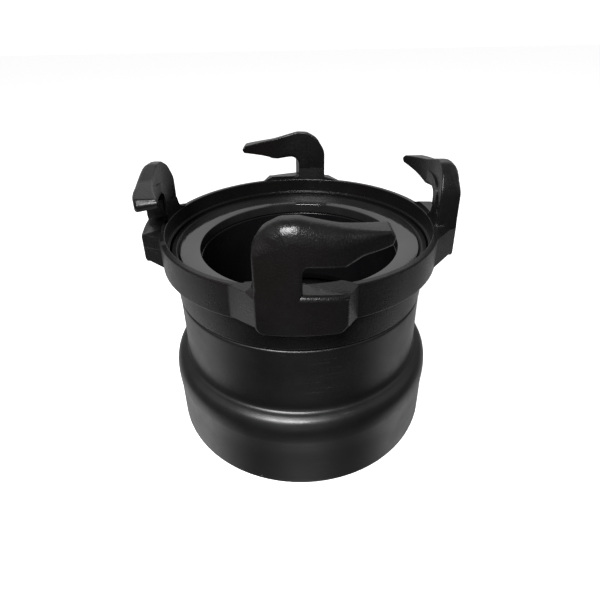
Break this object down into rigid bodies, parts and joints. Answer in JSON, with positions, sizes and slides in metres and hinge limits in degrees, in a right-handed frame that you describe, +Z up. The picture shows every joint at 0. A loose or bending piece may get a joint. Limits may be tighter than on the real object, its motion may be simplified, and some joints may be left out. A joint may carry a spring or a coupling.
{
  "type": "pipe adapter",
  "caption": "Black moulded pipe adapter: grooved male spigot body, free-turning bayonet ring with hooks, flanged sleeve and flat rubber face seal.",
  "frame": {"origin": "centre of the flat bottom face of the male end, on the pipe axis", "axes": "+Z up the pipe axis towards the hooks; the first hook is at -Y, less 2 degrees"},
  "size_m": [0.101, 0.101, 0.0901],
  "materials": {
    "body_plastic": "satin black moulded plastic",
    "sleeve_plastic": "semi-gloss black moulded plastic",
    "ring_plastic": "satin black moulded plastic with fine grain",
    "seal_rubber": "glossy black rubber",
    "o_ring_rubber": "matt black rubber"
  },
  "bodies": {
    "adapter": {"adapter_body": "body_plastic", "swivel_sleeve": "sleeve_plastic", "face_seal": "seal_rubber", "sleeve_o_ring": "o_ring_rubber"},
    "bayonet_ring": {"hook_ring": "ring_plastic"}
  },
  "joints": [
    {"name": "ring_turn", "type": "hinge", "parent": "adapter", "child": "bayonet_ring", "pos_m": [0, 0, 0.055], "axis": [0, 0, 1], "continuous": true}
  ]
}
